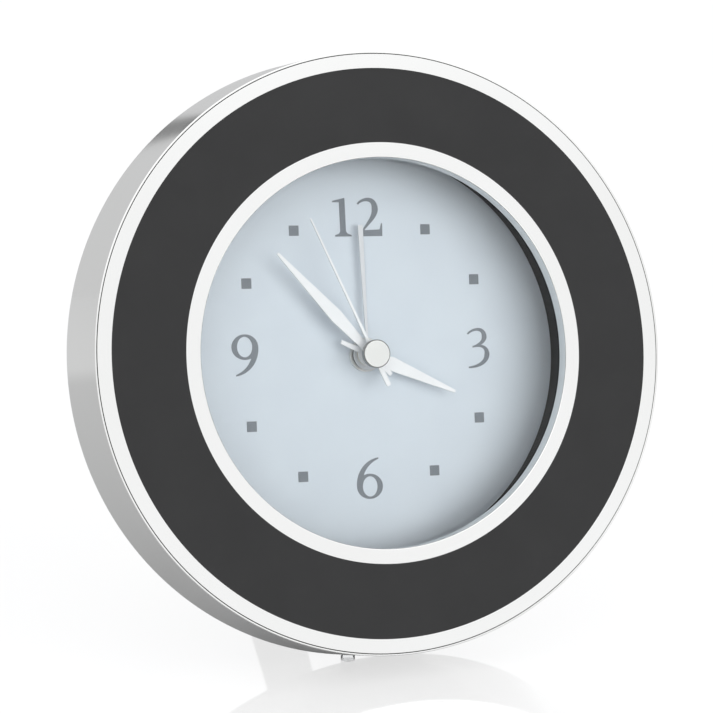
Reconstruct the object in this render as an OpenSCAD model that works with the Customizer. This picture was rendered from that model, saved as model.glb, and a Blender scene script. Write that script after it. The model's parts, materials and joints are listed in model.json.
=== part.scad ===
// Round quartz alarm clock: plated ring case with an enamel inlay, a round
// alarm movement with four coaxial hands, and a folding strut behind.
// Clock frame: X right, Y from the front face into the clock, Z up the face.
// Row frame: the clock frame leaned back, standing on the plane Z = 0.

/* [Case] */
// Radius of the case at its front edge
case_r_front = 50.3; // [50.2:0.05:50.5]
// Radius of the case at its rear edge
case_r_rear = 51.2; // [51:0.1:51.6]
// Depth of the side band
case_depth = 15; // [14.8:0.1:15.4]
// Angle that the clock leans back, in degrees
lean = 12; // [8:1:14]
// Radius of the front opening
opening_r = 32.6; // [32:0.1:33]
// Depth of the lip wall in the front opening
lip_depth = 2.6; // [2.4:0.1:2.7]
// Inner radius of the enamel inlay
enamel_r_in = 35.1; // [34.5:0.1:36]
// Outer radius of the enamel inlay
enamel_r_out = 47.5; // [46.5:0.1:48.5]
// Thickness of the enamel inlay
enamel_t = 0.6; // [0.3:0.1:0.9]

/* [Dial] */
// Depth of the dial's face behind the front face
dial_y = 11; // [10.9:0.05:11.1]
// Angle that the dial is turned clockwise in the case, in degrees
dial_turn = 2.24; // [0:0.01:5]
// Height of the printed circle's centre above the spindle
print_up = 0.55; // [0:0.05:1]
// Radius of the circle of hour marks
mark_ring_r = 24; // [22:0.5:26]
// Side of a square hour mark
mark_side = 1.75; // [1:0.05:2.5]
// Radius of the circle of numerals
numeral_ring_r = 21.6; // [20:0.2:23]
// Thickness of the printing
ink_t = 0.05; // [0.03:0.01:0.1]

/* [Hands] */
// Alarm hand's angle from twelve at rest
alarm_angle = -1.3; // [-180:0.1:180]
// Hour hand's angle from twelve at rest
hour_angle = 113.8; // [-180:0.1:180]
// Minute hand's angle from twelve at rest
minute_angle = -43.1; // [-180:0.1:180]
// Second hand's angle from twelve at rest
second_angle = -24.5; // [-180:0.1:180]
// Length of the alarm hand
alarm_len = 22.1; // [18:0.1:24]
// Length of the hour hand
hour_len = 16.9; // [14:0.1:20]
// Length of the minute hand
minute_len = 23.7; // [20:0.1:26]
// Length of the second hand
second_len = 25.3; // [20:0.1:27]
// Thickness of a hand
hand_t = 0.3; // [0.2:0.05:0.4]
// Radius of the cap on the second hand
cap_r = 2.4; // [2:0.1:3]

/* [Gears] */
// Direction of the time-setting arbor from the spindle, in degrees
minute_works_dir = 185; // [180:1:188]
// Direction of the alarm-setting arbor
alarm_set_dir = 25; // [22:1:28]
// Direction of the third wheel's arbor
third_dir = 110; // [106:1:114]
// Direction of the intermediate wheel's arbor
inter_dir = -25; // [-27:1:-23]
// Direction of the rotor from the intermediate wheel
rotor_dir = 20; // [17:1:23]
// Radial clearance of a shaft in its bearing
run = 0.05; // [0.02:0.01:0.08]

/* [Strut] */
// Length of the strut from its hinge to the surface
strut_len = 57; // [54:0.5:58]
// Width of the strut at its foot
foot_w = 11; // [9:0.5:12]
// Thickness of the strut's plate
strut_t = 1.2; // [1:0.1:1.4]
// Height of the strut's hinge from the spindle
hinge_z = -7.5; // [-8:0.1:-7]

/* [Hidden] */
$fn = 96;

plating = "silver";
black_plastic = [0.07, 0.07, 0.08];
wheel_plastic = "ivory";
steel = [0.7, 0.7, 0.72];

// Levels along Y, front to back.
lens_y = [lip_depth + 0.25, lip_depth + 1.75];
floor_y = [dial_y + 0.4, dial_y + 1.6];      // housing web behind the dial
plate_y = [13, 14];                          // back plate
middle_y = [16.7, 17.5];
bridge_y = [22.4, 23.2];
board_y = [23.6, 24.4];
cover_y = [26.4, 27.9];
knob_y = [28.2, 31.4];

// Radii of the insert.
flange_r = 36.7;
drum_r = 33.7;
drum_wall = 1.5;
boss_r = 2.45;
bezel_r = case_r_front - 0.6;
band_in_r = case_r_front - 0.45;

// Coaxial tubes and arbor on the spindle.
arbor_r = 0.35;
cannon_r = [arbor_r + run, 0.9];
hour_r = [cannon_r[1] + run, 1.45];
alarm_r = [hour_r[1] + run, 2];
hand_y = [9.45, 8.5, 7.55, 6.5];             // fronts of alarm, hour, minute, second

// Wheels: tooth counts and modules.
alarm_m = 0.46;
hour_m = 0.456;
minute_m = 0.475;
center_m = 0.255;
third_m = 0.27;
second_m = 0.39;
rotor_m = 0.27;
set_arbor_r = 1;
pivot_r = 0.3;

function polar(r, a) = [r * cos(a), r * sin(a)];
function centres(n1, n2, m) = m * (n1 + n2) / 2;

minute_xz = polar(centres(12, 36, minute_m), minute_works_dir);
alarm_xz = polar(centres(36, 12, alarm_m), alarm_set_dir);
third_xz = polar(centres(8, 60, third_m), third_dir);
inter_xz = polar(centres(40, 8, second_m), inter_dir);
rotor_xz = inter_xz + polar(centres(48, 8, rotor_m), rotor_dir);

post_xz = [[-16, 13.5], [11, 17], [17.5, -9.2]];
cover_screw_dirs = [60, 120, 192, 348];
cover_screw_ring = 30;
plate_screw_ring = 43;
peg_xz = [[-8, 14], [5, 14]];

cell_z = -17.4;
cell_y = 19.2;
cell_r = 5.25;
door_top = -12.7;
button_xz = [0, 21];
switch_xz = [-8, 20.5];
switch_travel = 3;

// Stance: the hinge, the strut's open angle and the height of the spindle.
hinge_y = 30.6;
pad_lift = 0.15;
stop_drop = -2.1;
spindle_h = case_r_rear * cos(lean) + case_depth * sin(lean) + pad_lift;
hinge_h = spindle_h + hinge_z * cos(lean) - hinge_y * sin(lean);
open_angle = acos(-hinge_h / strut_len) - lean;
front_reach = case_r_front * sin(lean);
foot_reach = hinge_y * cos(lean) + hinge_z * sin(lean)
    + strut_len * sin(open_angle + lean) + 1.76;
middle_shift = (front_reach - foot_reach) / 2;
// How far behind the hinge the open strut's underside crosses the lip's upper face.
stop_reach = (-stop_drop * sin(open_angle) - strut_t / 2) / -cos(open_angle) - 0.08;

// ---- placing ----
module in_clock() translate([0, middle_shift, spindle_h]) rotate([-lean, 0, 0]) children();
module at(p) translate([p[0], 0, p[1]]) children();
module turned(pts) rotate([-90, 0, 0]) rotate_extrude() polygon(pts);
module rod(r, y0, y1) translate([0, y0, 0]) rotate([-90, 0, 0]) cylinder(r = r, h = y1 - y0);
module tube(r_in, r_out, y0, y1) turned([[r_in, y0], [r_out, y0], [r_out, y1], [r_in, y1]]);
module layer(y0, y1) translate([0, y1, 0]) rotate([90, 0, 0]) linear_extrude(y1 - y0) children();
module block(x, y, z) translate([x[0], y[0], z[0]]) cube([x[1] - x[0], y[1] - y[0], z[1] - z[0]]);
module screw(head_r, shank_r, y_seat, head_h, length) {
    difference() {
        rod(head_r, y_seat, y_seat + head_h);
        block([-head_r, head_r], [y_seat + head_h / 2, y_seat + head_h + 1], [-0.2, 0.2]);
    }
    rod(shank_r, y_seat - length, y_seat);
}

// ---- gear teeth ----
// Rows of [radius step in modules, half width in pitches] from root to tip.
pinion_tooth = [[-1.25, 0.26], [0, 0.19], [0.8, 0.08]];
wheel_tooth = [[-1.1, 0.30], [0, 0.21], [0.8, 0.09]];
function tooth_side(n, m, row, i, side) =
    polar(n * m / 2 + row[0] * m, 360 / n * (i + side * row[1]));
module gear(n, m, tooth) polygon([for (i = [0:n - 1]) each concat(
    [for (k = [0:2]) tooth_side(n, m, tooth[k], i, -1)],
    [for (k = [2:-1:0]) tooth_side(n, m, tooth[k], i, 1)])]);
module wheel(n, m, turn, y0, y1) layer(y0, y1) rotate(turn) gear(n, m, wheel_tooth);
module pinion(n, m, turn, y0, y1) layer(y0, y1) rotate(turn) gear(n, m, pinion_tooth);
// A gap of an n-toothed wheel faces back along direction dir.
function facing(dir, n) = dir + 180 + 180 / n;

// ---- strokes for the numerals ----
function cubic(p, t) = p[0] * pow(1 - t, 3) + 3 * p[1] * t * pow(1 - t, 2)
    + 3 * p[2] * t * t * (1 - t) + p[3] * pow(t, 3);
function slope(p, t) = (p[1] - p[0]) * pow(1 - t, 2) + 2 * (p[2] - p[1]) * t * (1 - t)
    + (p[3] - p[2]) * t * t;
function side_point(p, w, t, side) = let (d = slope(p, t), n = [-d[1], d[0]] / norm(d))
    cubic(p, t) + side * n * (w[0] * pow(1 - t, 2) + 2 * w[1] * t * (1 - t) + w[2] * t * t) / 2;
module stroke(p, w, steps = 12) polygon(concat(
    [for (i = [0:steps]) side_point(p, w, i / steps, 1)],
    [for (i = [steps:-1:0]) side_point(p, w, i / steps, -1)]));
module ellipse(c, a, b, steps = 40)
    polygon([for (i = [0:steps - 1]) c + [a * cos(360 * i / steps), b * sin(360 * i / steps)]]);

module ink() layer(-ink_t, 0) children();
module numeral_one() {
    ink() polygon([[1.3, 0.2], [2.34, 0.2], [2.27, 6.55], [2.1, 6.55], [0, 6.1], [0, 5.85], [1.22, 5.85]]);
    ink() polygon([[0.3, 0], [3.35, 0], [3.3, 0.25], [2.6, 0.5], [2.33, 0.9], [1.3, 0.9], [1.05, 0.5],
        [0.35, 0.25]]);
}
module numeral_two() {
    ink() stroke([[0.1, 5.5], [0.7, 6.4], [3.35, 7.0], [3.25, 4.6]], [0.32, 0.5, 1.15]);
    ink() stroke([[3.25, 4.6], [3.2, 3.4], [2.2, 2.6], [0.95, 1.0]], [1.15, 0.7, 0.3]);
    ink() polygon([[0.87, 0], [4.45, 0], [4.5, 2.25], [4.3, 2.2], [4.0, 1.15], [1.3, 1.05], [0.87, 1.2]]);
}
module numeral_three() {
    ink() stroke([[0.08, 5.9], [0.9, 6.85], [3.3, 7.2], [3.22, 5.35]], [0.3, 0.4, 0.93]);
    ink() stroke([[3.22, 5.35], [3.15, 4.5], [2.3, 4.0], [0.95, 3.66]], [0.93, 0.5, 0.28]);
    ink() stroke([[1.3, 3.72], [2.9, 4.1], [3.75, 3.3], [3.62, 2.3]], [0.28, 0.5, 0.95]);
    ink() stroke([[3.62, 2.3], [3.5, 0.9], [1.9, 0.2], [0.1, 0.12]], [0.95, 0.6, 0.28]);
}
module numeral_six() {
    difference() {
        ink() ellipse([2.38, 2.15], 2.36, 2.15);
        ink() ellipse([2.42, 2.13], 1.34, 1.72);
    }
    ink() stroke([[0.53, 2.2], [0.45, 4.6], [2.0, 6.4], [4.1, 6.9]], [1.06, 0.9, 0.25]);
}

// ---- hands, pointing to twelve before they are turned ----
module hand_outline(len, tip_w, wide_at, wide_w, tail, tail_w) polygon([
    [-tip_w / 2, len], [tip_w / 2, len], [wide_w / 2, wide_at], [wide_w / 4, 1],
    [tail_w / 2, -tail], [-tail_w / 2, -tail], [-wide_w / 4, 1], [-wide_w / 2, wide_at]]);
module hand(angle, y, hub_r, bore_r) rotate([0, angle + dial_turn, 0]) difference() {
    union() {
        layer(y, y + hand_t) children();
        rod(hub_r, y, y + hand_t);
    }
    rod(bore_r, y - 1, y + 1);
}

// ---- case ----
module band_profile() {
    turned([[band_in_r, 0.12], [band_in_r + 0.12, 0], [case_r_front - 0.12, 0],
        [case_r_front, 0.12], [case_r_rear, case_depth - 0.6], [case_r_rear, case_depth - 0.3],
        [case_r_rear - 0.12, case_depth - 0.09], [case_r_rear - 0.35, case_depth],
        [band_in_r + 0.2, case_depth], [band_in_r, case_depth - 0.2]]);
}
module case_band() color(plating) in_clock() band_profile();
module front_bezel() color(plating) in_clock() {
    turned([[opening_r, 0.15], [opening_r + 0.15, 0], [enamel_r_in, 0], [enamel_r_in, enamel_t],
        [enamel_r_out, enamel_t], [enamel_r_out, 0], [bezel_r - 0.15, 0], [bezel_r, 0.15],
        [bezel_r, 0.8], [band_in_r, 0.8], [band_in_r, 1.4], [37.8, 1.4], [37.8, 8],
        [flange_r + 0.1, 8], [flange_r + 0.1, 1.4], [33.4, 1.4], [33.4, lip_depth],
        [opening_r, lip_depth]]);
    for (a = [45:90:315]) at(polar(plate_screw_ring, a)) tube(0.9, 2.2, 1.3, plate_y[0]);
}
module enamel_ring() color([0.2, 0.2, 0.2]) in_clock()
    tube(enamel_r_in, enamel_r_out, 0, enamel_t);
module back_plate() color([0.13, 0.13, 0.14]) in_clock() difference() {
    tube(drum_r + 0.15, band_in_r, plate_y[0], plate_y[1]);
    for (a = [45:90:315]) at(polar(plate_screw_ring, a)) rod(0.9, 12, 15);
}
module back_plate_screws() color(steel) in_clock()
    for (a = [45:90:315]) at(polar(plate_screw_ring, a)) screw(1.9, 0.9, plate_y[1], 0.8, 6);
// The cut is 0.03 larger than the band, so the facets of the cut stay clear of it.
module case_pads() color([0.85, 0.87, 0.88]) difference() {
    for (side = [-1, 1]) translate([side * 6.2, middle_shift + 2.9, 0]) cylinder(r = 1.2, h = 2);
    in_clock() turned([[0, 0], [case_r_front + 0.03, 0.12], [case_r_rear + 0.03, case_depth - 0.6],
        [case_r_rear + 0.03, case_depth - 0.3], [case_r_rear - 0.32, case_depth + 0.03],
        [0, case_depth + 0.03]], $fn = 360);
}

// ---- insert ----
module lens_gasket() color(black_plastic) in_clock() tube(opening_r + 0.1, 35.5, lip_depth, lens_y[0]);
module lens() color([0.85, 0.9, 0.95, 0.3]) in_clock() rod(35.5, lens_y[0], lens_y[1]);
module battery_walls() intersection() {
    rod(drum_r - 1, floor_y[1] - 0.2, cover_y[0]);
    union() {
        block([-26.2, 26.2], [floor_y[1] - 0.2, cover_y[0]], [-12, -11.2]);
        for (x = [[-26.2, -25], [25, 26.2]])
            block(x, [floor_y[1] - 0.2, cover_y[0]], [-26, -11.2]);
    }
}
module insert_housing() color(black_plastic) in_clock() {
    difference() {
        union() {
            turned([[35.55, lens_y[0]], [flange_r, lens_y[0]], [flange_r, plate_y[0]],
                [drum_r, plate_y[0]], [drum_r, cover_y[0]], [drum_r - drum_wall, cover_y[0]],
                [drum_r - drum_wall, floor_y[1]], [alarm_r[1] + run, floor_y[1]],
                [alarm_r[1] + run, 10.2], [boss_r, 10.2], [boss_r, floor_y[0]], [35.2, floor_y[0]],
                [35.2, lens_y[1]], [35.55, lens_y[1]]]);
            for (p = post_xz) at(p) rod(1.6, floor_y[1] - 0.2, middle_y[0]);
            for (a = cover_screw_dirs) at(polar(cover_screw_ring, a))
                rod(1.8, floor_y[1] - 0.2, cover_y[0]);
            battery_walls();
        }
        for (p = [minute_xz, alarm_xz]) at(p) rod(0.5 + run, floor_y[0] + 0.4, 14);
        for (p = post_xz) at(p) rod(0.7, 13.5, 18);
        for (a = cover_screw_dirs) at(polar(cover_screw_ring, a)) rod(0.8, 20.4, 27);
    }
}
module dial() color([0.86, 0.89, 0.92]) in_clock() tube(boss_r, 35, dial_y, floor_y[0]);
module on_dial() in_clock() rotate([0, dial_turn, 0]) translate([0, dial_y, print_up]) children();
module dial_numerals() color([0.5, 0.52, 0.55]) on_dial() {
    at([-4.9, numeral_ring_r - 1.9]) numeral_one();
    at([-0.4, numeral_ring_r - 1.9]) numeral_two();
    at([numeral_ring_r - 2.5, -3.4]) numeral_three();
    at([-2.4, -numeral_ring_r - 3.5]) numeral_six();
    at([-numeral_ring_r + 2.5, 3.5]) rotate([0, 180, 0]) numeral_six();
}
module hour_marks() color([0.5, 0.52, 0.55]) on_dial()
    for (h = [1:11]) if (h % 3 != 0) at(polar(mark_ring_r, 90 - 30 * h))
        ink() square(mark_side, center = true);
module dial_nut() color(plating) in_clock() tube(boss_r, 2.9, 10.35, dial_y);

// ---- hands ----
module alarm_hand() color([0.8, 0.8, 0.82]) in_clock()
    hand(alarm_angle, hand_y[0], 2.6, alarm_r[1])
        polygon([[-0.48, alarm_len], [0.48, alarm_len], [0.2, 1], [-0.2, 1]]);
module hour_hand() color([0.95, 0.95, 0.96]) in_clock()
    hand(hour_angle, hand_y[1], 2.1, hour_r[1]) hand_outline(hour_len, 0.5, 4.4, 2.4, 5.6, 0.7);
module minute_hand() color([0.95, 0.95, 0.96]) in_clock()
    hand(minute_angle, hand_y[2], 1.7, cannon_r[1]) hand_outline(minute_len, 0.45, 9, 2.35, 4.9, 0.7);
module second_hand() color([0.95, 0.95, 0.96]) in_clock()
    hand(second_angle, hand_y[3], 1.2, arbor_r)
        polygon([[-0.13, second_len], [0.13, second_len], [0.27, 0], [0.45, -3.2], [0.42, -5.8],
            [0.22, -6], [-0.22, -6], [-0.42, -5.8], [-0.45, -3.2], [-0.27, 0]]);
module second_hand_cap() color(plating) in_clock() difference() {
    turned([[0, 5.2], [cap_r - 0.25, 5.2], [cap_r, 5.45], [cap_r, 6.2], [1.1, 6.2],
        [1.1, hand_y[3]], [0, hand_y[3]]]);
    rod(arbor_r, 5.8, 7);
}

// ---- wheels on the spindle ----
module alarm_wheel() color(wheel_plastic) in_clock() difference() {
    union() {
        wheel(36, alarm_m, alarm_set_dir, 13, 13.8);
        rod(alarm_r[1], hand_y[0], 13.8);
    }
    rod(alarm_r[0], 5, 15);
}
module hour_wheel() color(wheel_plastic) in_clock() difference() {
    union() {
        wheel(40, hour_m, minute_works_dir, 14.3, 15.1);
        rod(hour_r[1], hand_y[1], 15.1);
    }
    rod(hour_r[0], 5, 16);
}
module cannon_pinion() color(wheel_plastic) in_clock() difference() {
    union() {
        pinion(12, minute_m, minute_works_dir, 15.4, 16.4);
        rod(cannon_r[1], hand_y[2], 18.75);
    }
    rod(cannon_r[0], 5, 20);
}
module clutch_spring() color("gold") in_clock() tube(cannon_r[1], 1.9, 18.68, 18.8);
module center_wheel() color(wheel_plastic) in_clock() difference() {
    union() {
        wheel(64, center_m, third_dir, 18, 18.6);
        rod(1.9, 17.7, 18.6);
    }
    rod(cannon_r[1] + run, 17, 19);
}
module second_wheel() color(wheel_plastic) in_clock() difference() {
    union() {
        pinion(8, third_m, third_dir, 18.95, 20.2);
        wheel(40, second_m, inter_dir, 20.2, 20.8);
        rod(1.2, 20.8, 22.1);
    }
    rod(arbor_r, 18, 23);
}
module second_arbor() color(steel) in_clock() rod(arbor_r, 5.8, 23);

// ---- wheels beside the spindle ----
module minute_wheel() color(wheel_plastic) in_clock() at(minute_xz) {
    rod(0.5, floor_y[0] + 0.45, 13);
    rod(set_arbor_r, 12.8, knob_y[0] + 2);
    pinion(10, hour_m, facing(minute_works_dir, 10), 14.1, 15.4);
    wheel(36, minute_m, facing(minute_works_dir, 36), 15.4, 16.4);
}
module knurled_knob(r, ribs) difference() {
    turned([[0, knob_y[0]], [r, knob_y[0]], [r, knob_y[1] - 0.5], [r - 0.5, knob_y[1]], [0, knob_y[1]]]);
    rod(set_arbor_r, knob_y[0] - 1, knob_y[0] + 2);
    for (i = [0:ribs - 1]) at(polar(r + 0.25, 360 * i / ribs)) rod(0.5, knob_y[0] - 1, knob_y[1] + 1);
}
module time_set_knob() color(black_plastic) in_clock() at(minute_xz) knurled_knob(4.2, 20);
module alarm_set_pinion() color(wheel_plastic) in_clock() at(alarm_xz) {
    rod(0.5, floor_y[0] + 0.45, 13);
    rod(set_arbor_r, 12.8, knob_y[0] + 2);
    pinion(12, alarm_m, facing(alarm_set_dir, 12), 12.8, 14);
}
module alarm_set_knob() color(black_plastic) in_clock() at(alarm_xz) knurled_knob(4.2, 20);
module third_wheel() color(wheel_plastic) in_clock() at(third_xz) {
    rod(pivot_r, middle_y[0] + 0.1, bridge_y[1] - 0.1);
    pinion(8, center_m, facing(third_dir, 8), 17.8, 19.1);
    wheel(60, third_m, facing(third_dir, 60), 19.1, 19.7);
    rod(0.7, 19.7, 22.1);
}
module intermediate_wheel() color(wheel_plastic) in_clock() at(inter_xz) {
    rod(pivot_r, middle_y[0] + 0.1, bridge_y[1] - 0.1);
    rod(0.6, 17.8, 20);
    pinion(8, second_m, facing(inter_dir, 8), 20, 21.3);
    wheel(48, rotor_m, rotor_dir, 21.3, 21.9);
}
module rotor_pinion() color(wheel_plastic) in_clock() at(rotor_xz) {
    rod(pivot_r, middle_y[0] + 0.1, bridge_y[1] - 0.1);
    rod(0.9, 17.8, 21);
    pinion(8, rotor_m, facing(rotor_dir, 8), 21, 22.1);
}
module rotor_magnet() color([0.25, 0.25, 0.27]) in_clock() at(rotor_xz) tube(0.9, 3, 18, 20.6);

// ---- motor and plates ----
module stator() color(steel) in_clock() difference() {
    layer(18.9, 19.5) {
        translate([11.9, -6.3]) square([7.9, 10.2]);
        translate([11.9, -6.3]) square([14, 3]);
        translate([12.6, 3]) square([4.4, 9.5]);
        translate([12.6, 9.5]) square([13.3, 3]);
        translate([22.7, -6.3]) square([2.6, 18.8]);
    }
    at(rotor_xz) rod(3.4, 18, 20);
}
module coil_bobbin() color("white") in_clock() translate([24, 19.2, 0]) difference() {
    union() {
        translate([0, 0, -2.9]) cylinder(r = 1.9, h = 12);
        for (z = [-3.2, 8.5]) translate([0, 0, z]) cylinder(r = 3.4, h = 0.8);
    }
    block([-1.3, 1.3], [-0.3, 0.3], [-5, 12]);
}
module coil_winding() color([0.72, 0.35, 0.15]) in_clock() translate([24, 19.2, -2.4])
    difference() {
        cylinder(r = 3.1, h = 10.9);
        translate([0, 0, -1]) cylinder(r = 1.9, h = 13);
    }
// The notch at the right clears the coil.
module plate_outline() difference() {
    intersection() {
        circle(22);
        translate([-22, -10.9]) square([44, 33]);
    }
    translate([20.3, -3.9]) square([3, 13.8]);
}
module middle_plate() color(black_plastic) in_clock() difference() {
    union() {
        layer(middle_y[0], middle_y[1]) plate_outline();
        for (p = post_xz) at(p) rod(1.6, middle_y[1] - 0.2, bridge_y[0]);
    }
    rod(cannon_r[1] + run, 16, 18);
    for (p = [minute_xz, alarm_xz]) at(p) rod(set_arbor_r + 0.3, 16, 18);
    for (p = [third_xz, inter_xz, rotor_xz]) at(p) rod(pivot_r + run, 16, 18);
    for (p = post_xz) at(p) rod(0.7, 16, 23);
}
module train_bridge() color(black_plastic) in_clock() difference() {
    union() {
        layer(bridge_y[0], bridge_y[1]) plate_outline();
        for (p = peg_xz) at(p) rod(1, bridge_y[1] - 0.2, board_y[0]);
    }
    rod(arbor_r + run, 22, 24);
    for (p = [minute_xz, alarm_xz]) at(p) rod(set_arbor_r + 0.3, 22, 24);
    for (p = [third_xz, inter_xz, rotor_xz]) at(p) rod(pivot_r + run, 22, 24);
    for (p = post_xz) at(p) rod(0.7, 22, 24);
}
module bridge_screws() color(steel) in_clock()
    for (p = post_xz) at(p) screw(1.4, 0.7, bridge_y[1], 0.8, 9);
module alarm_contact() color("gold") in_clock() block([-19, -3.4], [12.62, 12.82], [-8.2, -6.4]);

// ---- electronics ----
module circuit_board() color([0.1, 0.35, 0.15]) in_clock()
    block([-13, 8.5], board_y, [12, 27]);
module control_chip() color([0.05, 0.05, 0.05]) in_clock()
    block([-9.5, -5], [board_y[1], board_y[1] + 0.9], [13, 17.5]);
module quartz_crystal() color(steel) in_clock()
    translate([-6, board_y[0] - 1.05, 24.6]) rotate([0, 90, 0]) cylinder(r = 1.05, h = 6.2);
module buzzer() color([0.1, 0.1, 0.1]) in_clock() at([19, 19]) difference() {
    rod(4.6, floor_y[1], 20.8);
    rod(1, 20, 21);
}
module battery_cell() color([0.75, 0.6, 0.2]) in_clock() translate([0, cell_y, cell_z])
    rotate([0, 90, 0]) {
        translate([0, 0, -21.8]) cylinder(r = cell_r, h = 43.4);
        translate([0, 0, 21.6]) cylinder(r = 1.9, h = 1);
    }
// A leaf with its free end folded over towards the cell.
module battery_spring() color(steel) in_clock() translate([0, cell_y, cell_z - 2.6])
    linear_extrude(5.2) polygon([[-25, -3.6], [-25, 3.4], [-24.7, 3.9], [-24.2, 3.9], [-21.86, 0.6],
        [-21.86, -0.6], [-22.7, -2.8], [-23, -2.7], [-22.2, -0.5], [-22.2, 0.5], [-24.35, 3.55],
        [-24.55, 3.55], [-24.7, 3.3], [-24.7, -3.6]]);
module battery_contact() color(steel) in_clock()
    block([22.65, 25], [cell_y - 3.6, cell_y + 3.6], [cell_z - 2.8, cell_z + 2.8]);

// ---- rear ----
module door_outline(gap) intersection() {
    circle(drum_r - 0.1 - gap);
    translate([-22.5 + gap, -40]) square([45 - 2 * gap, 40 + door_top - gap]);
}
module rails(w, y, z) for (side = [-1, 1])
    block([side * 22.4 - w, side * 22.4 + w], y, z);
module battery_door() color(black_plastic) in_clock() {
    layer(cover_y[0] + 0.2, cover_y[1]) door_outline(0.15);
    intersection() {
        rails(0.5, [27.05, 27.45], [-23, door_top - 0.15]);
        rod(drum_r - 0.3, 26, 28);
    }
    for (i = [0:2]) block([-6, 6], [cover_y[1] - 0.1, cover_y[1] + 0.4], [-28.5 + 2 * i, -27.7 + 2 * i]);
}
module rear_cover() color(black_plastic) in_clock() difference() {
    turned([[0, cover_y[0]], [drum_r - 0.1, cover_y[0]], [drum_r - 0.1, cover_y[1] - 0.4],
        [drum_r - 0.5, cover_y[1]], [0, cover_y[1]]]);
    block([-22.5, 22.5], [26, 29], [-40, door_top]);
    rails(0.6, [26.95, 27.55], [-40, door_top]);
    for (p = [minute_xz, alarm_xz]) at(p) rod(set_arbor_r + run, 26, 29);
    at(button_xz) rod(3 + run, 26, 29);
    block([switch_xz[0] - 1.5 - switch_travel, switch_xz[0] + 1.5], [26, 29],
        [switch_xz[1] - 1.3, switch_xz[1] + 1.3]);
    at([19, 19]) for (a = [0:72:288]) at(polar(2, a)) rod(0.5, 26, 29);
    for (a = cover_screw_dirs) at(polar(cover_screw_ring, a)) rod(0.8, 26, 29);
    for (x = [-3.2, 3.2]) for (z = [-9.9, -5.1]) at([x, z]) rod(0.6, 26, 29);
}
module rear_cover_screws() color(steel) in_clock()
    for (a = cover_screw_dirs) at(polar(cover_screw_ring, a)) screw(1.5, 0.8, cover_y[1], 0.8, 7);
module alarm_switch() color([0.75, 0.1, 0.1]) in_clock() {
    block([switch_xz[0] - 2.8, switch_xz[0] + 2.8], [25.6, 26.3], [switch_xz[1] - 1.9, switch_xz[1] + 1.9]);
    block([switch_xz[0] - 1.3, switch_xz[0] + 1.3], [26.2, 28.9], [switch_xz[1] - 1.1, switch_xz[1] + 1.1]);
}
module snooze_dome() color(steel) in_clock() at(button_xz) rod(2.5, board_y[1], board_y[1] + 0.3);
module snooze_button() color([0.3, 0.3, 0.32]) in_clock() at(button_xz)
    turned([[0, 25.3], [1, 25.3], [1, 25.5], [3.7, 25.5], [3.7, 26.35], [3, 26.35], [3, 28.6],
        [2.7, 28.9], [0, 28.9]]);

// ---- strut ----
module at_hinge() in_clock() translate([0, hinge_y, hinge_z]) children();
module cross_rod(r, x0, x1) translate([x0, 0, 0]) rotate([0, 90, 0]) cylinder(r = r, h = x1 - x0);
// The lip under the knuckle is the stop that the strut's underside opens against.
module strut_bracket() color(plating) difference() {
    at_hinge() {
        block([-7, 7], [cover_y[1] - hinge_y, cover_y[1] - hinge_y + 0.8], [-3.9, 3.9]);
        for (x = [[-6, -5.1], [5.1, 6]]) {
            cross_rod(1.8, x[0], x[1]);
            block(x, [cover_y[1] - hinge_y, 0], [-3.1, 1.8]);
        }
        block([-2.1, 2.1], [cover_y[1] - hinge_y, stop_reach], [-3.1, stop_drop]);
    }
    at_hinge() cross_rod(0.8, -7, 7);
    in_clock() for (x = [-3.2, 3.2]) for (z = [-9.9, -5.1]) at([x, z]) rod(0.6, 26, 30);
}
module bracket_rivets() color(steel) in_clock() for (x = [-3.2, 3.2]) for (z = [-9.9, -5.1])
    at([x, z]) {
        rod(0.6, cover_y[0], cover_y[1] + 0.8);
        rod(0.95, cover_y[1] + 0.8, cover_y[1] + 1.2);
        rod(0.95, cover_y[0] - 0.4, cover_y[0]);
    }
module hinge_pin() color(steel) at_hinge() {
    cross_rod(0.8, -6, 6);
    cross_rod(1.25, -6.5, -6);
    cross_rod(1.25, 6, 6.5);
}
module strut() color(plating) at_hinge() rotate([-open_angle, 0, 0]) difference() {
    union() {
        cross_rod(1.65, -4.9, 4.9);
        layer(-strut_t / 2, strut_t / 2) polygon([[-4.3, 0.5], [4.3, 0.5],
            [foot_w / 2, strut_len - 2.5], [-foot_w / 2, strut_len - 2.5]]);
    }
    cross_rod(0.8 + run, -6, 6);
}
module strut_pad() color([0.15, 0.15, 0.15]) difference() {
    at_hinge() rotate([-open_angle, 0, 0]) layer(-1.3, 1.3) polygon(concat(
        [[-foot_w / 2 - 0.5, strut_len - 6], [foot_w / 2 + 0.5, strut_len - 6]],
        [for (a = [0:15:75]) [foot_w / 2 - 2 + 2.5 * cos(a), strut_len - 1 + 2.5 * sin(a)]],
        [for (a = [105:15:180]) [-foot_w / 2 + 2 + 2.5 * cos(a), strut_len - 1 + 2.5 * sin(a)]]));
    at_hinge() rotate([-open_angle, 0, 0]) block([-foot_w / 2, foot_w / 2],
        [-strut_t / 2, strut_t / 2], [strut_len - 7, strut_len - 2.5]);
    translate([-20, 0, -20]) cube([40, 80, 20]);
}

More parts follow.
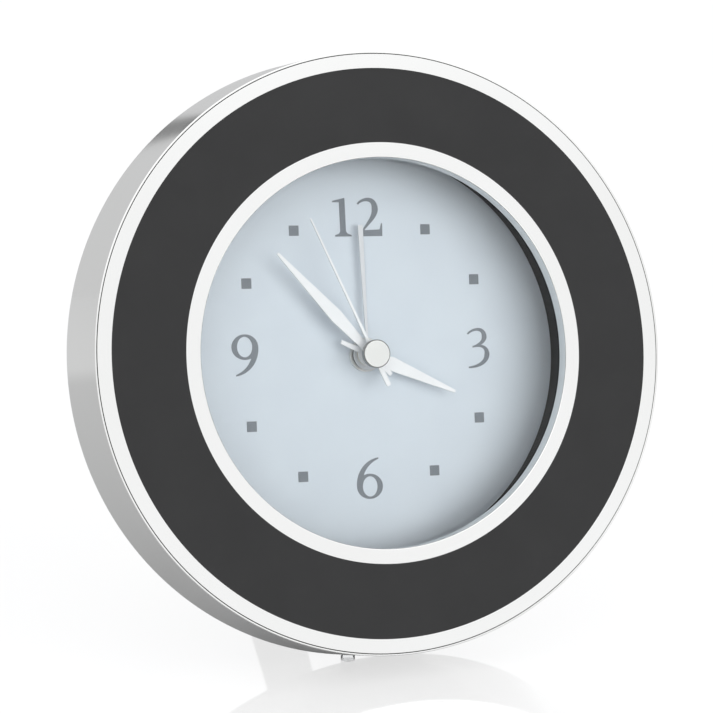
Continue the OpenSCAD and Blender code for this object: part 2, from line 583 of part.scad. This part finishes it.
case_band();
front_bezel();
enamel_ring();
back_plate();
back_plate_screws();
case_pads();
lens_gasket();
lens();
insert_housing();
dial();
dial_numerals();
hour_marks();
dial_nut();
alarm_hand();
hour_hand();
minute_hand();
second_hand();
second_hand_cap();
alarm_wheel();
hour_wheel();
cannon_pinion();
clutch_spring();
center_wheel();
minute_wheel();
time_set_knob();
alarm_set_pinion();
alarm_set_knob();
third_wheel();
second_wheel();
second_arbor();
intermediate_wheel();
rotor_pinion();
rotor_magnet();
stator();
coil_bobbin();
coil_winding();
middle_plate();
train_bridge();
bridge_screws();
alarm_contact();
circuit_board();
control_chip();
quartz_crystal();
buzzer();
battery_cell();
battery_spring();
battery_contact();
battery_door();
rear_cover();
rear_cover_screws();
alarm_switch();
snooze_dome();
snooze_button();
strut_bracket();
bracket_rivets();
hinge_pin();
strut();
strut_pad();
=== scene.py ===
"""Round alarm clock in a plated ring case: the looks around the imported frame."""
import json
import math

import bmesh
import bpy
from mathutils import Matrix, Vector


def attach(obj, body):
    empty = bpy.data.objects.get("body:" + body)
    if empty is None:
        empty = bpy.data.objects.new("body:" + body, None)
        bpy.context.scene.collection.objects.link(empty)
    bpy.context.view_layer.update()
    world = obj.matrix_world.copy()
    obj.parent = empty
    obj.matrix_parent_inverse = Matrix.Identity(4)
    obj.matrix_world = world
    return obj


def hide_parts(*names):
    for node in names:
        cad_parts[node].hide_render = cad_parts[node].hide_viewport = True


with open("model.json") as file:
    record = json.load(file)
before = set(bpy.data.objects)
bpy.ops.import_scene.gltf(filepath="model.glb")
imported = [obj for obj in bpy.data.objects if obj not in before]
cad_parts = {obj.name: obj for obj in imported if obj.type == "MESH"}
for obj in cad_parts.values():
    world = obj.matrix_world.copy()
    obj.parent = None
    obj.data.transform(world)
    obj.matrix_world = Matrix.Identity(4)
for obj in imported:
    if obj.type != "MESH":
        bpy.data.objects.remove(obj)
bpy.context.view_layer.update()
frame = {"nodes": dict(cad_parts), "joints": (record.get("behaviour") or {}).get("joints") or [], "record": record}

MM = 0.001
AROUND = 288          # facets round a turned piece
RECORD = frame["record"]
JOINTS = {joint["name"]: joint for joint in frame["joints"]}

# ---------------------------------------------------------------- the clock's own frame
# x to the right, y from the front face into the clock, z up the face.
SPINDLE_JOINT_DEPTH = 20 * MM
AXIS = Vector(JOINTS["second_hand_turn"]["axis"])
FRONT = Vector(JOINTS["second_hand_turn"]["pos_m"]) - AXIS * SPINDLE_JOINT_DEPTH
RIGHT = Vector((1, 0, 0))
UP = RIGHT.cross(AXIS)
CLOCK = Matrix.Translation(FRONT) @ Matrix((RIGHT, AXIS, UP)).transposed().to_4x4()


def clock_box(node):
    """A CAD node's box in the clock's own frame, in mm."""
    to_clock = CLOCK.inverted()
    points = [to_clock @ v.co / MM for v in frame["nodes"][node].data.vertices]
    low = Vector(min(p[k] for p in points) for k in range(3))
    high = Vector(max(p[k] for p in points) for k in range(3))
    return low, high


# ---------------------------------------------------------------- mesh building
def rounded(corners, steps=5):
    """A closed outline through (x, y, fillet) corners, each fillet an arc."""
    points = []
    count = len(corners)
    for i, (x, y, fillet) in enumerate(corners):
        here = Vector((x, y))
        if not fillet:
            points.append(here)
            continue
        before = (Vector(corners[i - 1][:2]) - here).normalized()
        after = (Vector(corners[(i + 1) % count][:2]) - here).normalized()
        half = before.angle(after) / 2
        centre = here + (before + after).normalized() * fillet / math.sin(half)
        start = here + before * fillet / math.tan(half) - centre
        end = here + after * fillet / math.tan(half) - centre
        for step in range(steps + 1):
            arm = start.lerp(end, step / steps).normalized() * fillet
            points.append(centre + arm)
    return points


def mesh_object(name, bm, look, body, node):
    """A shown piece from a bmesh in the clock's frame, in metres, standing for a CAD node."""
    bmesh.ops.remove_doubles(bm, verts=bm.verts, dist=1e-7)
    bmesh.ops.recalc_face_normals(bm, faces=bm.faces)
    bm.transform(CLOCK)
    mesh = bpy.data.meshes.new(name)
    bm.to_mesh(mesh)
    bm.free()
    mesh.shade_smooth()
    piece = bpy.data.objects.new(name, mesh)
    bpy.context.scene.collection.objects.link(piece)
    mesh.materials.append(look)
    weigh_normals(piece)
    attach(piece, body)
    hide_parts(node)


def weigh_normals(piece):
    modifier = piece.modifiers.new("weighted_normals", "WEIGHTED_NORMAL")
    modifier.keep_sharp = True
    modifier.weight = 100


def lathe(bm, outline, around=AROUND, centre=(0, 0)):
    """Turns a closed outline of (radius, depth) points, in mm, about a line along y."""
    rings = []
    for i in range(around):
        a = 2 * math.pi * i / around
        ring = []
        for radius, depth in outline:
            x = centre[0] + radius * math.cos(a)
            z = centre[1] + radius * math.sin(a)
            ring.append(bm.verts.new((x * MM, depth * MM, z * MM)))
        rings.append(ring)
    count = len(outline)
    for i in range(around):
        here, beyond = rings[i], rings[(i + 1) % around]
        for k in range(count):
            m = (k + 1) % count
            on_axis = [outline[k][0] < 1e-6, outline[m][0] < 1e-6]
            if all(on_axis):
                continue
            corners = [here[k], here[m], beyond[m], beyond[k]]
            if on_axis[0]:
                corners = [here[k], here[m], beyond[m]]
            if on_axis[1]:
                corners = [here[k], here[m], beyond[k]]
            bm.faces.new(corners)


def turned_piece(name, look, body, node, outline):
    bm = bmesh.new()
    lathe(bm, outline)
    mesh_object(name, bm, look, body, node)


def soften(node, width, segments=2):
    """Rounds the sharp edges of a CAD node as moulding, tumbling or plating does."""
    piece = frame["nodes"][node]
    weld = piece.modifiers.new("weld", "WELD")
    weld.merge_threshold = 1e-6
    flat = piece.modifiers.new("flat", "DECIMATE")
    flat.decimate_type = "DISSOLVE"
    flat.angle_limit = math.radians(0.3)
    bevel = piece.modifiers.new("bevel", "BEVEL")
    bevel.width = width * MM
    bevel.segments = segments
    bevel.limit_method = "ANGLE"
    bevel.angle_limit = math.radians(32)
    bevel.use_clamp_overlap = True
    bevel.harden_normals = False
    for face in piece.data.polygons:
        face.use_smooth = True
    weigh_normals(piece)


# ---------------------------------------------------------------- materials
class Look:
    """A Principled material and short ways to add nodes to it."""

    def __init__(self, name, **sockets):
        self.material = bpy.data.materials.new(name)
        self.material.use_nodes = True
        self.tree = self.material.node_tree
        self.bsdf = self.tree.nodes["Principled BSDF"]
        for key, value in sockets.items():
            self.bsdf.inputs[key.replace("_", " ")].default_value = value
        self.place = self.add("ShaderNodeTexCoord").outputs["Object"]

    def add(self, kind, **inputs):
        node = self.tree.nodes.new(kind)
        for key, value in inputs.items():
            socket = node.inputs[key.replace("_", " ")]
            if isinstance(value, bpy.types.NodeSocket):
                self.tree.links.new(value, socket)
            else:
                socket.default_value = value
        return node

    def stretched(self, x, y, z):
        """Object coordinates squeezed along each axis."""
        return self.add("ShaderNodeMapping", Vector=self.place, Scale=(x, y, z)).outputs[0]

    def noise(self, scale, detail=2.0, roughness=0.5, place=None):
        node = self.add("ShaderNodeTexNoise", Vector=place or self.place, Scale=scale,
                        Detail=detail, Roughness=roughness)
        return node.outputs["Fac"]

    def remap(self, value, low, high, from_low=0.3, from_high=0.7):
        node = self.add("ShaderNodeMapRange", Value=value, From_Min=from_low,
                        From_Max=from_high, To_Min=low, To_Max=high)
        return node.outputs[0]

    def vary_roughness(self, value, low, high):
        self.tree.links.new(self.remap(value, low, high), self.bsdf.inputs["Roughness"])

    def vary_colour(self, value, dark, light, low=0.3, high=0.7):
        ramp = self.add("ShaderNodeValToRGB", Fac=value)
        ramp.color_ramp.elements[0].position = low
        ramp.color_ramp.elements[1].position = high
        ramp.color_ramp.elements[0].color = (*dark, 1)
        ramp.color_ramp.elements[1].color = (*light, 1)
        self.tree.links.new(ramp.outputs["Color"], self.bsdf.inputs["Base Color"])
        return ramp.outputs["Color"]

    def bump(self, value, depth_mm, strength=1.0):
        previous = self.bsdf.inputs["Normal"].links
        node = self.add("ShaderNodeBump", Height=value, Strength=strength, Distance=depth_mm * MM)
        if previous:
            self.tree.links.new(previous[0].from_socket, node.inputs["Normal"])
        self.tree.links.new(node.outputs[0], self.bsdf.inputs["Normal"])


def plated():
    """Bright plate over a polished casting: faint polishing waves and hairlines."""
    look = Look("plated", Metallic=1.0, Roughness=0.1)
    cloud = look.noise(60, 3)
    look.vary_roughness(cloud, 0.07, 0.13)
    look.vary_colour(look.noise(25, 2), (0.90, 0.90, 0.885), (0.93, 0.93, 0.92))
    look.bump(look.noise(9000, 2, place=look.stretched(1, 0.12, 1)), 0.00025)
    look.bump(look.noise(45, 1), 0.004)
    return look.material


EDGE_FROM, EDGE_FADE, PAINTED_REFLECTION_TONE = 2.2, 0.06, 0.3      # the cap's rim darkened in colour, a painted dark reflection of the housing wall: radii and tone


def satin_plate():
    """The hand cap: turned plate with fine circles and a painted dark reflection at its edge."""
    look = Look("satin_plate", Metallic=1.0, Roughness=0.18)
    to_clock = CLOCK.inverted()
    place = look.add("ShaderNodeMapping", Vector=look.place, Location=to_clock.to_translation(),
                     Rotation=to_clock.to_euler()).outputs[0]
    apart = look.add("ShaderNodeSeparateXYZ", Vector=place).outputs
    flat = look.add("ShaderNodeCombineXYZ", X=apart[0], Y=apart[2])
    length = look.add("ShaderNodeVectorMath")
    length.operation = "LENGTH"
    look.tree.links.new(flat.outputs[0], length.inputs[0])
    ring = look.add("ShaderNodeCombineXYZ", X=length.outputs["Value"])
    circles = look.noise(22000, 3, place=ring.outputs[0])
    look.vary_roughness(circles, 0.14, 0.22)
    face = look.vary_colour(circles, (0.84, 0.83, 0.81), (0.90, 0.895, 0.875))
    # Painted reflection: the colour darkens near the rim, where the dark housing wall would mirror.
    edge = look.remap(length.outputs["Value"], 1.0, PAINTED_REFLECTION_TONE, EDGE_FROM * MM,
                      (EDGE_FROM + EDGE_FADE) * MM)
    face_with_painted_reflection = look.add("ShaderNodeHueSaturation", Color=face, Value=edge)
    look.tree.links.new(face_with_painted_reflection.outputs["Color"], look.bsdf.inputs["Base Color"])
    look.bump(circles, 0.0012)
    return look.material


def enamel():
    """Dark gloss enamel with a trace of orange peel and fine dust in the roughness."""
    look = Look("enamel", Roughness=0.12, IOR=1.5)
    look.vary_colour(look.noise(120, 4), (0.006, 0.006, 0.0063), (0.0085, 0.0085, 0.0088))
    look.vary_roughness(look.noise(900, 3), 0.10, 0.16)
    look.bump(look.noise(260, 2), 0.0012)
    return look.material


def moulding(name, dark, light, low, high, grain=4200, depth=0.012):
    """Moulded plastic with a spark-eroded grain."""
    look = Look(name, Roughness=low, IOR=1.46)
    look.vary_colour(look.noise(90, 4), dark, light)
    look.vary_roughness(look.noise(700, 3), low, high)
    look.bump(look.noise(grain, 2, 0.6), depth)
    return look.material


def coated(name, dark, light, low, high, peel=500, depth=0.006, **sockets):
    """Sprayed or printed paint on metal."""
    look = Look(name, Roughness=low, **sockets)
    look.vary_colour(look.noise(140, 4), dark, light)
    look.vary_roughness(look.noise(1500, 3), low, high)
    look.bump(look.noise(peel, 3), depth)
    return look.material


def rubber(name, dark, light):
    look = Look(name, Roughness=0.7, IOR=1.5, Specular_IOR_Level=0.35)
    look.vary_colour(look.noise(300, 4), dark, light)
    look.vary_roughness(look.noise(1200, 3), 0.55, 0.8)
    look.bump(look.noise(2600, 3, 0.6), 0.02)
    return look.material


def see_through(name, dark, light, ior, roughness):
    """Clear stuff with flat faces: it passes light straight through and mirrors by angle."""
    look = Look(name)
    nodes = look.tree.nodes
    nodes.remove(look.bsdf)
    tint = look.add("ShaderNodeValToRGB", Fac=look.noise(30, 1))
    tint.color_ramp.elements[0].color = (*dark, 1)
    tint.color_ramp.elements[1].color = (*light, 1)
    clear = look.add("ShaderNodeBsdfTransparent", Color=tint.outputs["Color"])
    mirror = look.add("ShaderNodeBsdfGlossy", Color=(1, 1, 1, 1), Roughness=roughness)
    angle = look.add("ShaderNodeFresnel", IOR=ior)
    mix = look.add("ShaderNodeMixShader", Fac=angle.outputs[0])
    look.tree.links.new(clear.outputs[0], mix.inputs[1])
    look.tree.links.new(mirror.outputs[0], mix.inputs[2])
    look.tree.links.new(mix.outputs[0], nodes["Material Output"].inputs["Surface"])
    return look.material


def bare_metal(name, dark, light, low, high, across=12):
    """Rolled or drawn metal, with its grain along z."""
    look = Look(name, Metallic=1.0, Roughness=low)
    grain = look.noise(2500, 3, place=look.stretched(across, across, 1))
    look.vary_colour(grain, dark, light)
    look.vary_roughness(grain, low, high)
    look.bump(look.noise(5000, 2, place=look.stretched(across, across, 1)), 0.0008)
    return look.material


def winding():
    """Enamelled wire laid side by side along z."""
    look = Look("copper_wire", Metallic=0.9, Roughness=0.3)
    wave = look.add("ShaderNodeTexWave", Vector=look.place, Scale=1800, Distortion=0.6, Detail=1)
    wave.bands_direction = "Z"
    look.vary_colour(wave.outputs["Fac"], (0.30, 0.09, 0.03), (0.78, 0.34, 0.13), 0.1, 0.8)
    look.vary_roughness(wave.outputs["Fac"], 0.25, 0.45)
    look.bump(wave.outputs["Fac"], 0.04)
    return look.material


def solder_mask():
    """Green board with copper tracks showing through as lighter squares."""
    look = Look("board", Roughness=0.3, IOR=1.5)
    track = look.add("ShaderNodeTexBrick", Vector=look.stretched(700, 700, 700),
                     Color1=(0.03, 0.20, 0.08, 1), Color2=(0.05, 0.30, 0.12, 1),
                     Mortar=(0.02, 0.12, 0.05, 1), Scale=1.0)
    look.tree.links.new(track.outputs["Color"], look.bsdf.inputs["Base Color"])
    look.vary_roughness(look.noise(900, 3), 0.22, 0.38)
    look.bump(track.outputs["Fac"], -0.02)
    return look.material


def cell_wrap():
    """Plain wrapped cell: a light end band and a darker body along x."""
    look = Look("cell_case", Metallic=0.6, Roughness=0.25)
    along = look.add("ShaderNodeSeparateXYZ", Vector=look.place).outputs[0]
    band_start, band_full = 0.012, 0.0125
    look.vary_colour(look.remap(along, 0, 1, band_start, band_full),
                     (0.05, 0.05, 0.055), (0.50, 0.30, 0.10))
    look.vary_roughness(look.noise(400, 3), 0.2, 0.34)
    return look.material


LOOKS = {
    "plated": plated(),
    "enamel": enamel(),
    "housing_plastic": moulding("housing_plastic", (0.006, 0.006, 0.0065), (0.009, 0.009, 0.0095),
                                0.5, 0.62),
    "back_coat": coated("back_coat", (0.020, 0.020, 0.022), (0.028, 0.028, 0.030), 0.34, 0.46),
    "clear_pad": see_through("clear_pad", (0.93, 0.935, 0.94), (0.96, 0.965, 0.965), 1.3, 0.25),
    "gasket_rubber": rubber("gasket_rubber", (0.008, 0.008, 0.008), (0.014, 0.014, 0.014)),
    "pad_rubber": rubber("pad_rubber", (0.018, 0.018, 0.018), (0.030, 0.030, 0.030)),
    "lens_glass": see_through("pane", (0.985, 0.992, 0.99), (0.992, 0.997, 0.996), 1.38, 0.02),
    "dial_coat": coated("dial_coat", (0.62, 0.673, 0.732), (0.645, 0.70, 0.755), 0.5, 0.62,
                        peel=3000, depth=0.003),
    "dial_ink": coated("dial_ink", (0.155, 0.175, 0.20), (0.18, 0.20, 0.225), 0.45, 0.55),
    "hand_coat": coated("hand_coat", (0.81, 0.81, 0.82), (0.85, 0.85, 0.86), 0.28, 0.36),
    "hand_bare": bare_metal("hand_bare", (0.70, 0.71, 0.73), (0.82, 0.83, 0.85), 0.35, 0.45),
    "wheel_plastic": moulding("wheel_plastic", (0.72, 0.68, 0.58), (0.80, 0.77, 0.68), 0.35, 0.45,
                              2500, 0.004),
    "steel": bare_metal("steel", (0.46, 0.46, 0.47), (0.62, 0.62, 0.63), 0.24, 0.38),
    "magnet": coated("magnet", (0.05, 0.05, 0.055), (0.09, 0.09, 0.095), 0.4, 0.55, 2500, 0.02,
                     Metallic=0.6),
    "copper_wire": winding(),
    "spring_brass": bare_metal("spring_brass", (0.60, 0.40, 0.14), (0.78, 0.56, 0.24), 0.22, 0.34),
    "board": solder_mask(),
    "chip": moulding("chip", (0.010, 0.010, 0.011), (0.016, 0.016, 0.017), 0.5, 0.65, 5000, 0.01),
    "cell_case": cell_wrap(),
    "switch_red": moulding("switch_red", (0.42, 0.012, 0.010), (0.50, 0.018, 0.015), 0.3, 0.4,
                           3000, 0.004),
    "button_grey": moulding("button_grey", (0.07, 0.07, 0.075), (0.09, 0.09, 0.095), 0.35, 0.45,
                            3000, 0.006),
}
SLOT_OF = {part["node"]: part["material_slot"] for part in RECORD["subparts"]}
for name, piece in frame["nodes"].items():
    piece.data.materials.clear()
    piece.data.materials.append(LOOKS[SLOT_OF[name]])

nut_finish = bare_metal("nut_finish", (0.80, 0.79, 0.77), (0.90, 0.89, 0.87), 0.38, 0.5, 3)
frame["nodes"]["dial_nut"].data.materials[0] = nut_finish

# ---------------------------------------------------------------- the ring case
# Driving sizes come back from the CAD nodes' boxes in the clock's frame, in mm.
# Depths are from the front face, and radii from the clock's axis.
band_high = clock_box("case_band")[1]
enamel_high = clock_box("enamel_ring")[1]
lens_low, lens_high = clock_box("lens")
BAND_REAR_R = band_high.x
BAND_DEPTH = band_high.y
BAND_WALL = 0.45
BAND_FRONT_R = BAND_REAR_R - 0.9
BAND_IN = BAND_FRONT_R - BAND_WALL
SEAM_R = BAND_FRONT_R - 0.27          # the band's inner edge at the face, where the seam shows
BEZEL_R = 49.7
BEZEL_FLARE = 0.25                    # the face plate's edge spreads this far into the seam
FLARE_DEPTH = 0.3
ENAMEL_OUT = enamel_high.x
ENAMEL_IN = 35.1
ENAMEL_DEPTH = enamel_high.y
OPENING_R = 32.6
LIP_DEPTH = 2.6
LIP_WALL_R = 33.4
SPIGOT_IN, SPIGOT_OUT, SPIGOT_DEPTH = 36.8, 37.8, 8
RIM_BACK, PLATE_BACK = 0.8, 1.4       # backs of the outer rim and of the tray


def ring_band():
    outline = rounded([
        (BAND_IN, FLARE_DEPTH, 0), (SEAM_R, 0, 0.04), (BAND_FRONT_R, 0, 0.12),
        (BAND_REAR_R, BAND_DEPTH, 0.45), (BAND_IN, BAND_DEPTH, 0.15)])
    turned_piece("ring_band", LOOKS["plated"], "case", "case_band", outline)


def front_bezel():
    """The face plate, with the four posts that the back plate's screws go into."""
    outline = rounded([
        (OPENING_R, 0, 0.18), (ENAMEL_IN, 0, 0.05), (ENAMEL_IN, ENAMEL_DEPTH, 0),
        (ENAMEL_OUT, ENAMEL_DEPTH, 0), (ENAMEL_OUT, 0, 0.05), (BEZEL_R + BEZEL_FLARE, 0, 0.06),
        (BEZEL_R, FLARE_DEPTH, 0), (BEZEL_R, RIM_BACK, 0), (BAND_IN, RIM_BACK, 0),
        (BAND_IN, PLATE_BACK, 0), (SPIGOT_OUT, PLATE_BACK, 0.2), (SPIGOT_OUT, SPIGOT_DEPTH, 0.2),
        (SPIGOT_IN, SPIGOT_DEPTH, 0.2), (SPIGOT_IN, PLATE_BACK, 0), (LIP_WALL_R, PLATE_BACK, 0.1),
        (LIP_WALL_R, LIP_DEPTH, 0.1), (OPENING_R, LIP_DEPTH, 0.12)])
    bm = bmesh.new()
    lathe(bm, outline)
    post_ring, post_r, bore_r, post_end = 43, 2.2, 0.9, 13.6
    post = rounded([
        (bore_r, PLATE_BACK, 0), (post_r, PLATE_BACK, 0), (post_r, post_end, 0.15),
        (bore_r, post_end, 0.1)])
    for k in range(4):
        a = math.radians(45 + 90 * k)
        lathe(bm, post, 48, (post_ring * math.cos(a), post_ring * math.sin(a)))
    mesh_object("bezel_ring", bm, LOOKS["plated"], "case", "front_bezel")


def enamel_inlay():
    """The fired inlay, a little below the rims and higher where it wets their walls."""
    inner, outer = ENAMEL_IN + 0.02, ENAMEL_OUT - 0.02
    wetted, edge_sink, sink = 0.58, 0.03, 0.045
    outline = rounded([
        (inner, edge_sink, 0.02), (inner + wetted, sink, 0.4), (outer - wetted, sink, 0.4),
        (outer, edge_sink, 0.02), (outer, ENAMEL_DEPTH, 0), (inner, ENAMEL_DEPTH, 0)])
    turned_piece("enamel_inlay", LOOKS["enamel"], "case", "enamel_ring", outline)


def lens_pane():
    rim, front, back = lens_high.x, lens_low.y, lens_high.y
    outline = rounded([(0, front, 0), (rim, front, 0.2), (rim, back, 0.2), (0, back, 0)])
    turned_piece("lens_pane", LOOKS["lens_glass"], "case", "lens", outline)


ring_band()
front_bezel()
enamel_inlay()
lens_pane()


# ---------------------------------------------------------------- the hands
def hand_cap():
    """A shallow round cap on a short stem, its face dished by a hair."""
    low, high = clock_box("second_hand_cap")
    rim, front, under, dish = high.x, low.y, 6.2, 0.02
    stem_r, stem_end = 1.1, high.y
    outline = rounded([
        (0, front + dish, 0), (rim, front, 0.14), (rim, under, 0.08), (stem_r, under, 0.05),
        (stem_r, stem_end, 0.05), (0, stem_end, 0)])
    turned_piece("hand_cap", satin_plate(), "second_drive", "second_hand_cap", outline)


hand_cap()
for node in ("alarm_hand", "hour_hand", "minute_hand", "second_hand"):
    soften(node, 0.05)

# ---------------------------------------------------------------- the rest of the CAD nodes
EDGES = {
    "back_plate": 0.15, "back_plate_screws": 0.12, "rear_cover_screws": 0.12, "rear_cover": 0.15,
    "battery_door": 0.12, "time_set_knob": 0.12, "alarm_set_knob": 0.12, "snooze_button": 0.1,
    "alarm_switch": 0.15, "strut_bracket": 0.12, "hinge_pin": 0.15, "bracket_rivets": 0.12,
    "strut": 0.25, "strut_pad": 0.35, "insert_housing": 0.12, "case_pads": 0.15,
    "dial_nut": 0.08, "battery_contact": 0.1, "circuit_board": 0.05, "control_chip": 0.08,
    "buzzer": 0.2, "battery_cell": 0.3, "stator": 0.05,
}
for node, width in EDGES.items():
    soften(node, width)

# ---------------------------------------------------------------- camera
VIEW_YAW = math.radians(21.376)
VIEW_DROP = math.radians(10.717)
VIEW_FROM = Vector((-151.86, -373.30, 75.59))         # from the middle of the face, in mm
FOCAL_LENGTH, SENSOR_WIDTH = 124.47, 36


def camera():
    forward = Vector((math.sin(VIEW_YAW) * math.cos(VIEW_DROP),
                      math.cos(VIEW_YAW) * math.cos(VIEW_DROP), -math.sin(VIEW_DROP)))
    eye = bpy.data.objects.new("camera", bpy.data.cameras.new("camera"))
    bpy.context.scene.collection.objects.link(eye)
    eye.location = FRONT + VIEW_FROM * MM
    eye.rotation_mode = "QUATERNION"
    eye.rotation_quaternion = forward.to_track_quat("-Z", "Y")
    eye.data.lens = FOCAL_LENGTH
    eye.data.sensor_width = SENSOR_WIDTH
    eye.data.clip_start = 0.01
    bpy.context.scene.camera = eye


camera()

# ---------------------------------------------------------------- floor and light
FLOOR_SIZE = 6
FLOOR_PAINTED_LIGHT = ((-0.15, 0.85), (0.0, 0.47), (0.20, 0.50), (0.26, 0.60))   # depth and tone, painted light: lighter in front, darker close behind, lighter far behind
FLOOR_SHOWN = 0.22
FLOOR_LIFT = 1.0
FLOOR_GLOSS = 0.36
WALL_BACK = 0.62
WALL_FRONT = 0.99
SKY_LOW = 0.35
SKY_TOP = 0.1
DARK_STAND = (0.092, 0.985, 0.135)    # its direction; below, the cosines of its edge and core
STAND_EDGE, STAND_CORE, STAND_DIMS = 0.9986, 0.9997, -0.48
KEY_FROM, KEY_SIZE, KEY_POWER = Vector((0.42, -1.0, 0.22)), (1.1, 0.5), 6.2


def floor_plane():
    """A square in the table's surface, on the stage and not part of the object."""
    bm = bmesh.new()
    corners = ((-1, -1), (1, -1), (1, 1), (-1, 1))
    bm.faces.new([bm.verts.new((x * FLOOR_SIZE, y * FLOOR_SIZE, 0)) for x, y in corners])
    mesh = bpy.data.meshes.new("floor")
    bm.to_mesh(mesh)
    bm.free()
    plane = bpy.data.objects.new("floor", mesh)
    bpy.context.scene.collection.objects.link(plane)
    mesh.materials.append(table_top())


def table_top():
    """A pale satin table; the camera sees it lifted to white, as an overexposed sweep is. Other rays see painted
    light in its tone, lighter in front and far behind.
    """
    look = Look("table_top")
    nodes, links = look.tree.nodes, look.tree.links
    nodes.remove(look.bsdf)
    first, last = FLOOR_PAINTED_LIGHT[0][0], FLOOR_PAINTED_LIGHT[-1][0]
    # Painted light: the tone that other rays see is set by depth, lighter in front and far behind.
    along = look.add("ShaderNodeSeparateXYZ", Vector=look.place).outputs["Y"]
    reach = look.add("ShaderNodeMapRange", Value=along, From_Min=first, From_Max=last)
    shade = look.add("ShaderNodeValToRGB", Fac=reach.outputs[0])
    for place, tone in FLOOR_PAINTED_LIGHT[1:-1]:
        shade.color_ramp.elements.new((place - first) / (last - first)).color = (tone, tone, tone, 1)
    for end in (0, -1):
        tone = FLOOR_PAINTED_LIGHT[end][1]
        shade.color_ramp.elements[end].color = (tone, tone, tone, 1)
    matt = look.add("ShaderNodeBsdfDiffuse", Color=shade.outputs[0])
    shown = look.add("ShaderNodeBsdfDiffuse", Color=(FLOOR_SHOWN,) * 3 + (1,))
    lift = look.add("ShaderNodeEmission", Color=(1, 1, 1, 1), Strength=FLOOR_LIFT)
    sweep = look.add("ShaderNodeAddShader")
    links.new(shown.outputs[0], sweep.inputs[0])
    links.new(lift.outputs[0], sweep.inputs[1])
    gloss = look.add("ShaderNodeBsdfGlossy", Color=(1, 1, 1, 1), Roughness=0.05)
    polished = look.add("ShaderNodeMixShader", Fac=FLOOR_GLOSS)
    links.new(sweep.outputs[0], polished.inputs[1])
    links.new(gloss.outputs[0], polished.inputs[2])
    path = look.add("ShaderNodeLightPath")
    seen = look.add("ShaderNodeMixShader", Fac=path.outputs["Is Camera Ray"])
    links.new(matt.outputs[0], seen.inputs[1])
    links.new(polished.outputs[0], seen.inputs[2])
    links.new(seen.outputs[0], nodes["Material Output"].inputs["Surface"])
    return look.material


def key_light():
    """A lamp that lights the clock without showing as a square in its mirror surfaces."""
    lamp = bpy.data.lights.new("key", "AREA")
    lamp.shape = "RECTANGLE"
    lamp.size, lamp.size_y = KEY_SIZE
    lamp.energy = KEY_POWER
    box = bpy.data.objects.new("key", lamp)
    bpy.context.scene.collection.objects.link(box)
    box.location = FRONT + KEY_FROM
    box.rotation_mode = "QUATERNION"
    box.rotation_quaternion = (-KEY_FROM).to_track_quat("-Z", "Y")
    box.visible_glossy = False


def surroundings():
    """White studio: the camera sees plain white, the object sees a soft gradient."""
    world = bpy.data.worlds.new("studio")
    world.use_nodes = True
    tree = world.node_tree
    tree.nodes.clear()
    direction = tree.nodes.new("ShaderNodeTexCoord").outputs["Generated"]
    apart = tree.nodes.new("ShaderNodeSeparateXYZ")
    tree.links.new(direction, apart.inputs[0])

    def eased(value, start, end, low, high):
        node = tree.nodes.new("ShaderNodeMapRange")
        node.interpolation_type = "SMOOTHSTEP"
        tree.links.new(value, node.inputs["Value"])
        for key, limit in (("From Min", start), ("From Max", end), ("To Min", low), ("To Max", high)):
            node.inputs[key].default_value = limit
        return node.outputs[0]

    def total(first, *others):
        for other in others:
            node = tree.nodes.new("ShaderNodeMath")
            node.operation = "ADD"
            tree.links.new(first, node.inputs[0])
            tree.links.new(other, node.inputs[1])
            first = node.outputs[0]
        return first

    def background(colour):
        node = tree.nodes.new("ShaderNodeBackground")
        node.inputs["Color"].default_value = (*colour, 1)
        return node

    walls = eased(apart.outputs["Y"], 0.0, -0.7, WALL_BACK, WALL_FRONT)
    low_sky = eased(apart.outputs["Z"], 0.25, 0.5, 0.0, SKY_LOW)
    high_sky = eased(apart.outputs["Z"], 0.50, 1.0, 0.0, SKY_TOP)
    # A dark stand behind and to the right shows as one soft mark in the band, upper left.
    toward = tree.nodes.new("ShaderNodeVectorMath")
    toward.operation = "DOT_PRODUCT"
    tree.links.new(direction, toward.inputs[0])
    toward.inputs[1].default_value = Vector(DARK_STAND).normalized()
    stand = eased(toward.outputs["Value"], STAND_EDGE, STAND_CORE, 0.0, STAND_DIMS)
    soft = background((0.985, 0.99, 1.0))
    tree.links.new(total(walls, low_sky, high_sky, stand), soft.inputs["Strength"])
    plain = background((1, 1, 1))
    path = tree.nodes.new("ShaderNodeLightPath")
    mix = tree.nodes.new("ShaderNodeMixShader")
    tree.links.new(path.outputs["Is Camera Ray"], mix.inputs["Fac"])
    tree.links.new(soft.outputs[0], mix.inputs[1])
    tree.links.new(plain.outputs[0], mix.inputs[2])
    out = tree.nodes.new("ShaderNodeOutputWorld")
    tree.links.new(mix.outputs[0], out.inputs["Surface"])
    bpy.context.scene.world = world


floor_plane()
surroundings()
key_light()
bpy.context.scene.view_settings.view_transform = "Standard"
bpy.context.scene.view_settings.look = "None"
